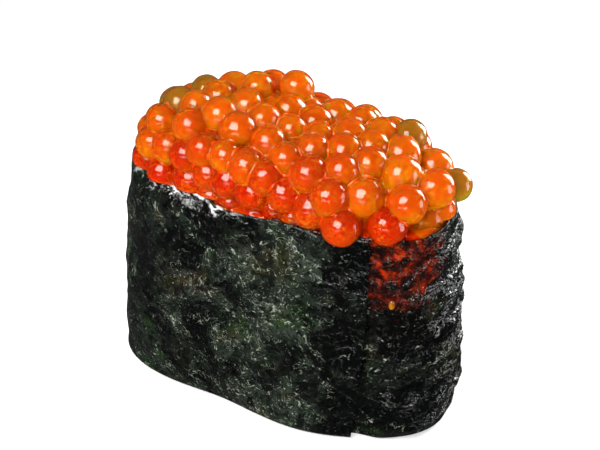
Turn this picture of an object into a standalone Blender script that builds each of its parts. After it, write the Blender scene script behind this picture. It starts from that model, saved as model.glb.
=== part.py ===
"""Gunkan sushi: a band of nori round a block of rice, heaped with salmon roe.

The part stands on z = 0 with its origin in the middle of its base. +X runs along its length and
-Y is the long side where the nori's outer end is lapped down. The constants are in millimetres,
and mesh_object turns finished points into metres.
"""
import math
import random

import bmesh
import bpy
from mathutils import Matrix, Vector

METRE = 0.001

# Footprint of the nori's outer face: a squarish oval at the base and at the rim, blended between.
NORI_HEIGHT = 35.0
RIM_HALF_LENGTH = 23.85
RIM_HALF_WIDTH = 12.65
BASE_HALF_LENGTH = 25.8
BASE_HALF_WIDTH = 11.0
SQUARENESS = 2.38
BARREL = 0.032
BARREL_TO_X = 0.015
LEAN_X = -1.4
LEAN_Y = -0.4
# Hand-made unevenness of the footprint: waves along its near side, as (count, cosine, sine).
RIM_WAVES = ((2, 0.47, -0.61), (3, -0.25, -0.16), (4, 0.04, -0.26), (5, -0.18, -0.20))
BASE_WAVES = ((2, 0.08, -0.64), (3, -0.46, -0.11), (4, 0.36, 0.29), (5, -0.36, 0.18))
FAR_FROM = 0.06
FAR_FADE = 0.62
# The nori's foot curls in under the rice along an arc that stops short of level.
FOOT_RADIUS = 1.2
FOOT_TURN = math.radians(75)

# Nori strip, wound once round the rice and lapped.
NORI_THICKNESS = 0.45
LAP_GAP = 0.2
OUTER_END = math.radians(-34)
LAP_STEPS = 5
TUCK_STEPS = 2
AROUND = 56
FOOT_LEVELS = 2
WALL_LEVELS = 6
CRINKLE = 0.28
RIM_RIPPLE = 0.22

# Rice block inside the nori.
CLEARANCE = 0.3
RICE_TOP = 25.5
RICE_CROWN = 2.5

# Roe: soft eggs settled into the well above the rice and heaped over the rim.
ROE_SEED = 4588
LOOSE_EGGS = 160
EGG_RADIUS = (2.4, 2.75)
EGG_GROWTH = 0.009
EGG_SQUEEZE = 0.83
SETTLE_ROUNDS = 160
ROE_FLOOR = 32.0
HEAP_CROWN = 10.4
HEAP_STEP = 2.0
HEAP_STEP_AT = -2.0
HEAP_STEP_WIDTH = 7.0
HEAP_SHOULDER = 4.0
OVERHANG = 0.3
OVERHANG_SWING = 0.3
OVERHANG_SIDE = math.radians(-30)
# Eggs set by hand, as (x, y, z, radius): those on the crown, at the ends and over the near rim.
PLACED_EGGS = (
    (-1.9, 6.0, 45.8, 2.50),
    (-7.1, 4.0, 45.5, 2.50),
    (-6.9, 8.2, 43.9, 2.50),
    (-15.3, 4.0, 43.4, 2.43),
    (-19.3, 2.0, 41.6, 2.45),
    (-22.0, -0.4, 38.0, 2.40),
    (-20.3, -4.9, 36.0, 2.35),
    (-16.4, -7.4, 35.9, 2.45),
    (-11.7, -8.1, 36.2, 2.50),
    (12.4, -10.9, 36.0, 2.75),
    (17.8, -8.3, 36.0, 2.75),
    (14.2, -7.4, 39.0, 3.00),
    (21.6, -1.6, 39.0, 2.90),
    (15.6, 5.0, 42.4, 2.35),
    (23.2, 2.5, 37.8, 2.35),
)
# The heap's core lies this far under its outline, and eggs show by at least this much.
CORE_DEPTH = 2.2
LEAST_SHOWING = 1.0
CORE_SHARES = (1.0, 0.97, 0.88, 0.72, 0.4)
# A faceted egg is this much larger, to match a round one.
EGG_FACET_GROWTH = 1.03
# The slivers along the creases between eggs are thinned out to this many triangles.
ROE_TRIANGLES = 6000


# ---------------------------------------------------------------- footprint of the band

def blend(low, high, share):
    return low + (high - low) * share


def smooth(share):
    share = min(max(share, 0.0), 1.0)
    return share * share * (3.0 - 2.0 * share)


def outline_radius(angle, level, inset=0.0):
    """Distance from the middle to the nori's outer face, or to a curve an inset inside it.

    The level is 0 at the base and 1 at the rim.
    """
    half_length = blend(BASE_HALF_LENGTH, RIM_HALF_LENGTH, level) - inset
    half_width = blend(BASE_HALF_WIDTH, RIM_HALF_WIDTH, level) - inset
    along = abs(math.cos(angle) / half_length) ** SQUARENESS
    across = abs(math.sin(angle) / half_width) ** SQUARENESS
    radius = (along + across) ** (-1.0 / SQUARENESS)
    near = 1.0 - smooth((math.sin(angle) - FAR_FROM) / FAR_FADE)
    for low, high in zip(BASE_WAVES, RIM_WAVES):
        radius += near * blend(low[1], high[1], level) * math.cos(low[0] * angle)
        radius += near * blend(low[2], high[2], level) * math.sin(low[0] * angle)
    swell = BARREL + BARREL_TO_X * math.cos(angle)
    return radius * (1.0 + swell * 4.0 * level * (1.0 - level))


def middle(level):
    """Middle of the footprint: the band leans a little towards its rim."""
    return Vector((LEAN_X * (1.0 - level), LEAN_Y * (1.0 - level), 0.0))


def outline_point(angle, level):
    radius = outline_radius(angle, level)
    return middle(level) + Vector((radius * math.cos(angle), radius * math.sin(angle), 0.0))


def outward(angle, level):
    """Level direction square to the band's outer face."""
    step = 0.01
    along = outline_point(angle + step, level) - outline_point(angle - step, level)
    return Vector((along.y, -along.x, 0.0)).normalized()


def crinkle(angle, height):
    """Shallow dents and swellings of the damp nori, fading out at its edges."""
    fade = smooth(height / 6.0) * smooth((NORI_HEIGHT - height) / 5.0)
    round_it = math.sin(9 * angle + 0.21 * height) + math.sin(14 * angle - 0.33 * height + 1.3)
    up_it = math.sin(0.62 * height + 3 * angle) + math.sin(0.41 * height - 5 * angle + 0.7)
    return CRINKLE * fade * 0.5 * (round_it + up_it)


def band_point(angle, height, turn, depth):
    """Point at a depth behind the nori's outer face, where that face leans in by turn."""
    level = height / NORI_HEIGHT
    inset = FOOT_RADIUS * (1.0 - math.cos(turn)) + depth * math.cos(turn)
    point = outline_point(angle, level)
    point += outward(angle, level) * (crinkle(angle, height) - inset)
    point.z = height + depth * math.sin(turn)
    return point


def band_levels():
    """(height, turn) pairs from the foot of the band to its rim."""
    foot_height = FOOT_RADIUS * math.sin(FOOT_TURN)
    levels = []
    for step in range(FOOT_LEVELS):
        turn = FOOT_TURN * (1.0 - step / FOOT_LEVELS)
        levels.append((foot_height - FOOT_RADIUS * math.sin(turn), turn))
    for step in range(WALL_LEVELS + 1):
        levels.append((blend(foot_height, NORI_HEIGHT, step / WALL_LEVELS), 0.0))
    return levels


def stretch_angle(angle):
    """Turn an even angle into one that spaces points evenly round the long oval."""
    across = RIM_HALF_WIDTH * math.sin(angle)
    along = RIM_HALF_LENGTH * math.cos(angle)
    return math.atan2(across, along)


def squash_angle(angle):
    """The opposite of stretch_angle."""
    across = RIM_HALF_LENGTH * math.sin(angle)
    along = RIM_HALF_WIDTH * math.cos(angle)
    return math.atan2(across, along)


def strip_angle(step):
    """Direction of the strip's point number step, counted from its outer end."""
    return stretch_angle(squash_angle(OUTER_END) - step * math.tau / AROUND)


def strip_depth(step):
    """Depth of the strip behind the outer face: it tucks in under its own outer end."""
    lap_depth = NORI_THICKNESS + LAP_GAP
    return lap_depth * smooth((step - AROUND + TUCK_STEPS) / TUCK_STEPS)


# ---------------------------------------------------------------- mesh helpers

def mesh_object(name, work_mesh):
    """Triangulate a bmesh in millimetres and link it as an object in metres."""
    bmesh.ops.triangulate(work_mesh, faces=work_mesh.faces[:])
    bmesh.ops.scale(work_mesh, vec=(METRE, METRE, METRE), verts=work_mesh.verts[:])
    mesh = bpy.data.meshes.new(name)
    work_mesh.to_mesh(mesh)
    work_mesh.free()
    mesh.shade_smooth()
    mesh.set_sharp_from_angle(angle=math.radians(40))
    piece = bpy.data.objects.new(name, mesh)
    bpy.context.scene.collection.objects.link(piece)
    return piece


def add_row(work_mesh, points):
    return [work_mesh.verts.new(point) for point in points]


def skin_rows(work_mesh, low, high, closed):
    """Quads between two rows of vertices; closed joins the last pair to the first."""
    count = len(low)
    for index in range(count if closed else count - 1):
        after = (index + 1) % count
        work_mesh.faces.new((low[index], low[after], high[after], high[index]))


def fan(work_mesh, row, tip):
    for index in range(len(row)):
        work_mesh.faces.new((row[index], row[(index + 1) % len(row)], tip))


def face_outward(work_mesh):
    bmesh.ops.recalc_face_normals(work_mesh, faces=work_mesh.faces[:])


def add_material(piece, name, color, roughness):
    material = bpy.data.materials.new(name)
    material.use_nodes = True
    shader = material.node_tree.nodes["Principled BSDF"]
    shader.inputs["Base Color"].default_value = (*color, 1.0)
    shader.inputs["Roughness"].default_value = roughness
    shader.inputs["Metallic"].default_value = 0.0
    piece.data.materials.append(material)


# ---------------------------------------------------------------- nori

def rim_ripple(angle):
    """The strip's top edge isn't quite level."""
    return RIM_RIPPLE * (math.sin(4 * angle + 0.6) + 0.6 * math.sin(11 * angle + 2.0))


def strip_section(step):
    """Closed section of the strip at one point along it: up its outer face and down its inner."""
    angle = strip_angle(step)
    depth = strip_depth(step)
    outer = []
    inner = []
    for height, turn in band_levels():
        near = band_point(angle, height, turn, depth)
        far = band_point(angle, height, turn, depth + NORI_THICKNESS)
        lift = rim_ripple(angle) * smooth((height - 0.8 * NORI_HEIGHT) / (0.2 * NORI_HEIGHT))
        near.z += lift
        far.z += lift
        outer.append(near)
        inner.append(far)
    return outer + inner[::-1]


def build_nori():
    work_mesh = bmesh.new()
    sections = [add_row(work_mesh, strip_section(step)) for step in range(AROUND + LAP_STEPS + 1)]
    for low, high in zip(sections, sections[1:]):
        skin_rows(work_mesh, low, high, closed=True)
    # Each cut end is a ladder of quads between the outer face and the inner face.
    for section in (sections[0], sections[-1]):
        half = len(section) // 2
        skin_rows(work_mesh, section[:half], section[half:][::-1], closed=False)
    face_outward(work_mesh)
    piece = mesh_object("nori_wrap", work_mesh)
    add_material(piece, "nori", (0.012, 0.020, 0.014), 0.35)


# ---------------------------------------------------------------- rice

def inner_depth(step):
    """Depth of the band's inner face, two layers deep where the strip laps itself."""
    lap_depth = NORI_THICKNESS + LAP_GAP
    wrapped = step % AROUND
    tucked = smooth((wrapped - AROUND + TUCK_STEPS + 1) / TUCK_STEPS)
    lapped = 1.0 - smooth(wrapped - LAP_STEPS)
    return NORI_THICKNESS + lap_depth * max(tucked, lapped)


def inside_ring(height, turn, gap):
    """Ring of points at a gap inside the band."""
    ring = []
    for step in range(AROUND):
        angle = strip_angle(step)
        ring.append(band_point(angle, height, turn, inner_depth(step) + gap))
    return ring


def shrink_ring(ring, share, height, crown):
    """Copy of a ring drawn in towards the middle and raised in the middle by crown."""
    centre = sum(ring, Vector()) / len(ring)
    points = []
    for point in ring:
        moved = centre.lerp(point, share)
        moved.z = height + crown * (1.0 - share * share)
        points.append(moved)
    return points


def build_rice():
    work_mesh = bmesh.new()
    levels = [(h, t) for h, t in band_levels() if h < RICE_TOP]
    levels.append((RICE_TOP, 0.0))
    # The flat underside starts just inside the nori's curled edge.
    foot = inside_ring(levels[0][0], levels[0][1], 2.0 * CLEARANCE)
    for point in foot:
        point.z = 0.0
    rows = [add_row(work_mesh, foot)]
    for height, turn in levels:
        rows.append(add_row(work_mesh, inside_ring(height, turn, CLEARANCE)))
    top = inside_ring(RICE_TOP, 0.0, CLEARANCE)
    for share in (0.8, 0.45):
        rows.append(add_row(work_mesh, shrink_ring(top, share, RICE_TOP, RICE_CROWN)))
    for low, high in zip(rows, rows[1:]):
        skin_rows(work_mesh, low, high, closed=True)
    tip = sum(top, Vector()) / len(top)
    tip.z = RICE_TOP + RICE_CROWN
    fan(work_mesh, rows[-1], work_mesh.verts.new(tip))
    work_mesh.faces.new(rows[0])
    face_outward(work_mesh)
    piece = mesh_object("rice_block", work_mesh)
    add_material(piece, "rice", (0.82, 0.79, 0.70), 0.5)


# ---------------------------------------------------------------- roe

def rim_reach(angle, margin):
    """Plan distance from the origin to a curve a margin inside the nori's inner face at the rim."""
    return outline_radius(angle, 1.0, NORI_THICKNESS + margin)


def heap_height(x, y, margin):
    """Height over the rim of a dome that ends a margin short of the nori's inner face.

    It is taller on its -X half, and steep at its edge.
    """
    share = min(math.hypot(x, y) / rim_reach(math.atan2(y, x), margin), 1.0)
    raised = HEAP_CROWN + HEAP_STEP * smooth(0.5 - (x - HEAP_STEP_AT) / HEAP_STEP_WIDTH)
    return raised * math.sqrt(1.0 - share ** HEAP_SHOULDER)


def core_height(x, y):
    """Top of the core: it lies one core depth inside the heap's outline, on top and at the side."""
    return NORI_HEIGHT - CORE_DEPTH + heap_height(x, y, CORE_DEPTH)


def overhang(angle):
    """How far eggs above the rim may reach past the nori's inner face."""
    return OVERHANG + OVERHANG_SWING * math.cos(angle - OVERHANG_SIDE)


def scatter_eggs(draw):
    eggs = [[*egg, True] for egg in PLACED_EGGS]
    while len(eggs) < LOOSE_EGGS + len(PLACED_EGGS):
        angle = draw.uniform(-math.pi, math.pi)
        reach = rim_reach(angle, EGG_RADIUS[0]) * math.sqrt(draw.random())
        x = reach * math.cos(angle)
        y = reach * math.sin(angle)
        radius = draw.uniform(*EGG_RADIUS) + EGG_GROWTH * x
        top = NORI_HEIGHT + max(0.5, heap_height(x, y, 0.0) - radius)
        eggs.append([x, y, draw.uniform(ROE_FLOOR + radius, top), radius, False])
    return eggs


def push_apart(one, other):
    """Move two eggs apart until they only squeeze each other; placed eggs stay put."""
    between = Vector(other[:3]) - Vector(one[:3])
    reach = (one[3] + other[3]) * EGG_SQUEEZE
    distance = between.length
    if distance >= reach or distance < 1e-4 or (one[4] and other[4]):
        return
    push = between * ((reach - distance) / distance)
    share = 1.0 if one[4] else 0.0 if other[4] else 0.5
    for axis in range(3):
        one[axis] -= push[axis] * (1.0 - share)
        other[axis] += push[axis] * share


def hold_in(egg):
    """Keep an egg inside the nori, above the rice and under the heap's outline."""
    x, y, z, radius, placed = egg
    if placed:
        return
    angle = math.atan2(y, x)
    margin = radius - overhang(angle) * smooth(0.5 * (z - NORI_HEIGHT))
    reach = rim_reach(angle, margin)
    if math.hypot(x, y) > reach:
        x = reach * math.cos(angle)
        y = reach * math.sin(angle)
    top = NORI_HEIGHT + heap_height(x, y, 0.0) - radius
    z = max(min(z, top), ROE_FLOOR + radius)
    # Rounded, so that the last bits of a sum never grow into another packing.
    egg[:3] = round(x, 4), round(y, 4), round(z, 4)


def settle_eggs():
    """Eggs of the heap as (centre, radius), packed by pushing overlapping pairs apart."""
    eggs = scatter_eggs(random.Random(ROE_SEED))
    for _ in range(SETTLE_ROUNDS):
        for index, one in enumerate(eggs):
            for other in eggs[index + 1:]:
                if abs(other[0] - one[0]) < 6.0 and abs(other[1] - one[1]) < 6.0:
                    push_apart(one, other)
        for egg in eggs:
            hold_in(egg)
    return [(Vector(egg[:3]), egg[3]) for egg in eggs]


def dome_ring(share):
    """Ring on the core's top, at a share of the way out to the dome's edge."""
    ring = []
    for step in range(AROUND):
        angle = strip_angle(step)
        reach = share * rim_reach(angle, CORE_DEPTH)
        x = reach * math.cos(angle)
        y = reach * math.sin(angle)
        ring.append(Vector((x, y, core_height(x, y))))
    return ring


def core_object():
    """Solid under the eggs: it fills the well from the rice up and domes under the heap."""
    work_mesh = bmesh.new()
    floor = RICE_TOP + CLEARANCE
    base = inside_ring(floor, 0.0, CLEARANCE)
    rows = []
    for share in (0.45, 0.8, 1.0):
        rows.append(add_row(work_mesh, shrink_ring(base, share, floor, RICE_CROWN)))
    tip = sum(base, Vector()) / len(base)
    tip.z = floor + RICE_CROWN
    fan(work_mesh, rows[0], work_mesh.verts.new(tip))
    shoulder = NORI_HEIGHT - CORE_DEPTH
    for height in (blend(floor, shoulder, 0.5), shoulder):
        rows.append(add_row(work_mesh, inside_ring(height, 0.0, CLEARANCE)))
    for share in CORE_SHARES:
        rows.append(add_row(work_mesh, dome_ring(share)))
    for low, high in zip(rows, rows[1:]):
        skin_rows(work_mesh, low, high, closed=True)
    peak = Vector((0.0, 0.0, core_height(0.0, 0.0)))
    fan(work_mesh, rows[-1], work_mesh.verts.new(peak))
    face_outward(work_mesh)
    return mesh_object("roe_heap", work_mesh)


def shows(centre, radius):
    """True for an egg that stands out of the core, over it or beside it."""
    for lean in (0.0, 0.5, 0.9):
        for turn in range(8):
            out = radius * math.sin(lean)
            x = centre.x + out * math.cos(turn * math.tau / 8)
            y = centre.y + out * math.sin(turn * math.tau / 8)
            if centre.z + radius * math.cos(lean) > core_height(x, y) + LEAST_SHOWING:
                return True
    return False


def eggs_object():
    """Every egg that shows, as one mesh of overlapping balls."""
    work_mesh = bmesh.new()
    draw = random.Random(ROE_SEED + 1)
    for centre, radius in settle_eggs():
        axis = Vector((draw.random(), draw.random(), 1.0))
        turn = Matrix.Rotation(draw.uniform(0.0, math.tau), 4, axis)
        if shows(centre, radius):
            place = Matrix.Translation(centre) @ turn
            grown = radius * EGG_FACET_GROWTH
            bmesh.ops.create_icosphere(work_mesh, subdivisions=2, radius=grown, matrix=place)
    return mesh_object("egg_balls", work_mesh)


def rim_room_object():
    """Ring round the nori's upper wall that the roe is kept out of."""
    work_mesh = bmesh.new()
    sections = []
    for step in range(AROUND):
        angle = strip_angle(step)
        top = NORI_HEIGHT + rim_ripple(angle) + CLEARANCE
        section = []
        for depth in (-CLEARANCE, inner_depth(step) + CLEARANCE):
            low = band_point(angle, RICE_TOP, 0.0, depth)
            high = band_point(angle, NORI_HEIGHT, 0.0, depth)
            high.z = top
            section += [low, high] if depth < 0.0 else [high, low]
        sections.append(add_row(work_mesh, section))
    for low, high in zip(sections, sections[1:] + sections[:1]):
        skin_rows(work_mesh, low, high, closed=True)
    face_outward(work_mesh)
    return mesh_object("rim_room", work_mesh)


def boolean(piece, operation, tool):
    """Join or cut a piece with a helper object that isn't part of the model."""
    modifier = piece.modifiers.new(tool.name, "BOOLEAN")
    modifier.operation = operation
    modifier.object = tool
    modifier.solver = "EXACT"
    modifier.use_self = True


def shells_of(work_mesh):
    """Groups of faces that hang together."""
    left = set(work_mesh.faces)
    shells = []
    while left:
        shell = set()
        edge = {left.pop()}
        while edge:
            face = edge.pop()
            shell.add(face)
            near = {other for side in face.edges for other in side.link_faces}
            edge |= near & left
            left -= near
        shells.append(shell)
    return shells


def fix_outer_shell(piece):
    """Apply a piece's Booleans and fill the pockets sealed between eggs."""
    depsgraph = bpy.context.evaluated_depsgraph_get()
    mesh = bpy.data.meshes.new_from_object(piece.evaluated_get(depsgraph))
    work_mesh = bmesh.new()
    work_mesh.from_mesh(mesh)
    shells = shells_of(work_mesh)
    outer = max(shells, key=len)
    inner = [face for shell in shells if shell is not outer for face in shell]
    bmesh.ops.delete(work_mesh, geom=inner, context="FACES")
    bmesh.ops.triangulate(work_mesh, faces=work_mesh.faces[:])
    work_mesh.to_mesh(mesh)
    work_mesh.free()
    piece.modifiers.clear()
    piece.data = mesh


def thin_out(piece, triangles):
    """Collapse the shortest edges of a piece until it has about this many triangles."""
    modifier = piece.modifiers.new("thin_out", "DECIMATE")
    modifier.ratio = triangles / len(piece.data.polygons)
    modifier.use_collapse_triangulate = True


def build_roe():
    piece = core_object()
    tools = [eggs_object(), rim_room_object()]
    boolean(piece, "UNION", tools[0])
    boolean(piece, "DIFFERENCE", tools[1])
    fix_outer_shell(piece)
    thin_out(piece, ROE_TRIANGLES)
    for tool in tools:
        bpy.data.objects.remove(tool, do_unlink=True)
    add_material(piece, "roe", (0.90, 0.22, 0.02), 0.15)


def main():
    for piece in list(bpy.data.objects):
        bpy.data.objects.remove(piece, do_unlink=True)
    build_nori()
    build_rice()
    build_roe()


main()
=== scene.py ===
"""Looks of the gunkan sushi: crinkled wet nori, translucent salmon roe in brine, and rice.

Shapes are worked out in millimetres, in the frame of the CAD part, and MM turns them into metres.
"""

import math
import random
from collections import namedtuple

import bmesh
import bpy
from mathutils import Matrix, Vector, noise
from mathutils.kdtree import KDTree


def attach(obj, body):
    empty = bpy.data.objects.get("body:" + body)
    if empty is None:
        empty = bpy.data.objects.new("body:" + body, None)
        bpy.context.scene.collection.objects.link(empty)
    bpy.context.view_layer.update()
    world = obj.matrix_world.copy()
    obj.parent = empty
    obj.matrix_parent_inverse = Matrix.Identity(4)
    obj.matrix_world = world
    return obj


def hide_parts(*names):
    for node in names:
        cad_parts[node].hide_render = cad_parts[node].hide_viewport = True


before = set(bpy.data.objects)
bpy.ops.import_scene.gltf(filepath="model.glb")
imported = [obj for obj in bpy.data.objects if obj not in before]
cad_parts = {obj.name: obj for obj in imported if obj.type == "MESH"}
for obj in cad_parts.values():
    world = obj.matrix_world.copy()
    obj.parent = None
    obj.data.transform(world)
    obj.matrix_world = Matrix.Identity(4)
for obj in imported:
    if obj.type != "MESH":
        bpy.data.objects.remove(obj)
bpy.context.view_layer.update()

MM = 0.001

# ---- Footprint of the nori, as the CAD part has it
NORI_HEIGHT = 35.0
RIM_HALF_LENGTH = 23.85
RIM_HALF_WIDTH = 12.65
BASE_HALF_LENGTH = 25.8
BASE_HALF_WIDTH = 11.0
SQUARENESS = 2.38
BARREL = 0.032
BARREL_TO_X = 0.015
LEAN_X = -1.4
LEAN_Y = -0.4
RIM_WAVES = ((2, 0.47, -0.61), (3, -0.25, -0.16), (4, 0.04, -0.26), (5, -0.18, -0.20))
BASE_WAVES = ((2, 0.08, -0.64), (3, -0.46, -0.11), (4, 0.36, 0.29), (5, -0.36, 0.18))
FAR_FROM = 0.06
FAR_FADE = 0.62
FOOT_RADIUS = 1.2
FOOT_TURN = math.radians(75)
NORI_THICKNESS = 0.45
LAP_GAP = 0.2
OUTER_END = math.radians(-34)
AROUND = 56
LAP_STEPS = 5
TUCK_STEPS = 2
CRINKLE = 0.28
RIM_RIPPLE = 0.22
CLEARANCE = 0.3
RICE_TOP = 25.5

# ---- Packing of the roe, as the CAD part has it
ROE_SEED = 4588
LOOSE_EGGS = 160
EGG_RADIUS = (2.4, 2.75)
EGG_GROWTH = 0.009
EGG_SQUEEZE = 0.83
SETTLE_ROUNDS = 160
ROE_FLOOR = 32.0
HEAP_CROWN = 10.4
HEAP_STEP = 2.0
HEAP_STEP_AT = -2.0
HEAP_STEP_WIDTH = 7.0
HEAP_SHOULDER = 4.0
OVERHANG = 0.3
OVERHANG_SWING = 0.3
OVERHANG_SIDE = math.radians(-30)
PLACED_EGGS = (
    (-1.9, 6.0, 45.8, 2.50),
    (-7.1, 4.0, 45.5, 2.50),
    (-6.9, 8.2, 43.9, 2.50),
    (-15.3, 4.0, 43.4, 2.43),
    (-19.3, 2.0, 41.6, 2.45),
    (-22.0, -0.4, 38.0, 2.40),
    (-20.3, -4.9, 36.0, 2.35),
    (-16.4, -7.4, 35.9, 2.45),
    (-11.7, -8.1, 36.2, 2.50),
    (12.4, -10.9, 36.0, 2.75),
    (17.8, -8.3, 36.0, 2.75),
    (14.2, -7.4, 39.0, 3.00),
    (21.6, -1.6, 39.0, 2.90),
    (15.6, 5.0, 42.4, 2.35),
    (23.2, 2.5, 37.8, 2.35),
)
# The core lies this deep under the heap's outline, and an egg shows if it rises this far over it.
CORE_DEPTH = 2.2
LEAST_SHOWING = 0.2

# ---- Finer shapes of the roe
# This egg shows in the +X end of the well, where the CAD part's heap is merged in one.
END_EGG = (22.4, -1.2, 35.9, 2.35)
# Clear amber eggs, and eggs that sag over the rim, by their number: the placed eggs come first.
AMBER_EGGS = (3, 4, 13, 14, 135)
SAGGING_EGGS = (9, 10)
EGG_STRETCH = (0.96, 1.04)
EGG_DENT = 0.025
EGG_DENT_SCALE = 1.6
# Each egg has a cloudy middle this much smaller than its clear skin.
MIDDLE_SHARE = 0.92
# Past the middles, the seams between the eggs start and get their full colour.
SEAM_FROM = 0.02
SEAM_FADE = 0.06
# Eggs are redder lower down and nearer, and paler at the +X end and high up at both ends.
# Each pair says at which x, y or z the change starts and at which it is full.
RED_BELOW = (46.5, 37.5)
RED_NEAR = (7.0, -6.0)
PALE_END = (18.0, 21.0)
PALE_RISE = ((5.0, 18.0), (35.5, 39.0))
PALE_CORNER = ((-12.0, -19.0), (35.5, 39.5))
PALE_SHARE = 0.75
LEAST_RED = 0.1
RED_GAIN = 0.95
RED_SCATTER = 0.15

# ---- Finer steps and relief of the nori that shows
FINE_AROUND = 420
FINE_UP = 100
FINE_FOOT = 6
SHEET_THICKNESS = 0.36
# Depths of the relief, and its scales as (length along the strip, length up it, noise layer).
BROAD_DENT = 0.42
BROAD_SCALE = (8.0, 6.0, 1.7)
WRINKLE = 0.38
WRINKLE_MIDDLE = 0.6
WRINKLE_SCALE = (3.2, 9.0, 5.1)
WRINKLE_SLANT = 0.7
PUCKER = 0.14
PUCKER_SCALE = (1.7, 1.5, 9.3)
GRAIN = 0.05
GRAIN_SCALE = (0.6, 0.6, 2.2)
RIM_NOTCH = 0.25
NOTCH_SCALE = (1.3, 1.0, 4.4)
# A crease from (along, height) to (along, height): beside its line, which wanders, a crest and
# a groove run as (distance to one side, half width).
FOLD_FROM = Vector((29.0, 18.6))
FOLD_TO = Vector((18.4, 3.9))
FOLD_DEPTH = 0.5
FOLD_WANDER = 0.7
WANDER_LENGTH = 4.0
FOLD_CREST = (1.3, 1.1)
FOLD_GROOVE = (-0.5, 0.9)
# Shares of its line over which it fades in, and out again.
FOLD_START = (-0.35, 0.15)
FOLD_END = (1.25, 0.85)
# From the first x to the second, the relief grows at the +X end and dies down at the other.
END_REACH = (16.0, 22.0)
END_RELIEF = 1.6
CALM_REACH = (-14.0, -22.0)
CALM_RELIEF = 0.45
# The +X end has long level ridges too, that stand out more than they sink in.
RIDGE = 0.7
RIDGE_SCALE = (9.0, 2.6, 3.3)
RIDGE_BIAS = 0.25
# The relief fades in above the foot, and down to a share of itself at the rim.
FOOT_FADE = (0.0, 3.0)
RIM_FADE = (30.0, NORI_HEIGHT)
RIM_RELIEF = 0.45
# Dents stop short of the rice and roe: past the first depth they flatten out within the second.
SHALLOW_DENT = 0.12
REST_OF_DENT = 0.22
# The tucked layer follows the relief of the one over it, one turn back, this much deeper.
TURN_LENGTH = 127.7
TUCK_SINK = 0.12
# The damp rim curls in between these steps of the strip, growing and fading over these.
RIM_CURL = 1.4
CURL_FROM = 32.5
CURL_STEPS = (7.0, 18.5)
CURL_FADES = (2.6, 3.5)

# ---- Brine and juice
BRINE_LEVEL = 34.7
BRINE_LEVELS = (27.5, 31.0, BRINE_LEVEL)
BRINE_VOXEL = 0.32
BRINE_SOFTENING = 6
DOME_SHARES = (1.0, 0.97, 0.88, 0.72, 0.4, 0.05)
# Juice lies in the creases between eggs, in beads of this radius, thin in places.
BEAD_RADIUS = 0.18
BEAD_SINK = 0.05
BEAD_THIN = 0.08
BEAD_SWELL = 1.3
BEAD_STEPS = 32
BEAD_SIDES = 6
# The drop's middle stands out from the nori, and its half sizes are (out, aside, up).
DROP_STEP = 54.75
DROP_HEIGHT = 25.4
DROP_OUT = 0.25
DROP_HALF_SIZES = (0.4, 0.46, 0.72)

# ---- Rice
RICE_CORE_FLOOR = 0.9
RICE_CORE_LEVELS = (6.0, 12.0, 18.0, RICE_TOP)
RICE_SEED = 31
RICE_GRAINS = 230
GRAIN_TRIES = 6000
GRAIN_GAP = 1.9
GRAIN_INSET = 2.6
GRAIN_HALF_SIZES = ((2.3, 3.0), (1.15, 1.4), (0.9, 1.1))
GRAIN_TIP = 0.2
GRAIN_LIFT = (0.75, 1.25)
# The pressed side of a grain: its height at the middle, and how much its ends curve up.
GRAIN_FOOT = 0.02
GRAIN_BOW = 0.05

# ---- Places on the sheet of nori
# Bands along it, measured from its outer end, as (from, to, softness).
PALER = (6.0, 22.0, 6.0)
# Past this band, near the lapped end, the leaf is darker: painted shade.
CLEAR_OF_LAP_SHADE = (4.5, 113.0, 4.0)
GLINTING_END = (103.0, 118.0, 4.0)
CALM_END = (30.0, 66.0, 9.0)
WET_RIM = (20.0, 41.0, 5.0)
# The rim gets wet, and gets painted highlights, between these heights. A painted glow of the
# roe's light through the leaf shows between these places along the sheet and these heights.
# Noise shifts their edges, by up to half of each swing either way.
WET_UP = (33.6, 34.8)
WET_SWING = 5.0
GLOW_THROUGH_ALONG = (115.0, 121.0)
GLOW_THROUGH_UP = (23.0, 32.0)
GLOW_THROUGH_SWING = 12.0
# Layers of fibres, as (noise scale per metre, line width, offset in metres), and the values of
# the noise that the fibres follow.
FIBRE_LAYERS = ((260.0, 0.010, 0.0), (420.0, 0.015, 0.37), (700.0, 0.024, 0.71))
FIBRE_LEVELS = (0.44, 0.57)
# Clouds of colour, as (tint, noise scale per metre, detail, roughness, distortion).
TINT_CLOUDS = (
    ((0.6, 1.3, 0.35), 150.0, 5.0, 0.7, 0.6),
    ((1.3, 0.9, 0.5), 110.0, 4.0, 0.6, 0.5),
    ((1.2, 0.7, 0.8), 75.0, 4.0, 0.6, 0.0),
)

# ---- Colours, as linear red, green and blue
WHITE = (1.0, 1.0, 1.0)
EGG_PALE = (0.93, 0.335, 0.003)
EGG_RED = (0.75, 0.058, 0.0)
# Tint of the painted glow on the low side of each egg.
EGG_PAINTED_GLOW = (1.0, 1.8, 1.5)
EGG_GRANULES = (1.0, 0.50, 0.03)
AMBER_PALE = (0.75, 0.48, 0.04)
AMBER_RED = (0.75, 0.40, 0.03)
MIDDLE_PALE = (0.86, 0.34, 0.01)
MIDDLE_RED = (0.68, 0.19, 0.0)
# Tint of the painted glow on the low side of each middle.
MIDDLE_PAINTED_GLOW = (1.15, 1.6, 1.6)
MIDDLE_SPECKS = (1.0, 0.85, 0.15)
MIDDLE_AMBER = (0.50, 0.19, 0.01)
SEAM_PALE = (0.66, 0.13, 0.001)
SEAM_RED = (0.58, 0.022, 0.0)
JUICE_PALE = (0.80, 0.15, 0.004)
JUICE_RED = (0.66, 0.03, 0.0)
DROP_COLOR = (0.27, 0.09, 0.004)
NORI_DARK = (0.0005, 0.0007, 0.0006)
NORI_PALE = (0.020, 0.028, 0.020)
NORI_GRIT = (0.25, 0.25, 0.25)
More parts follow.
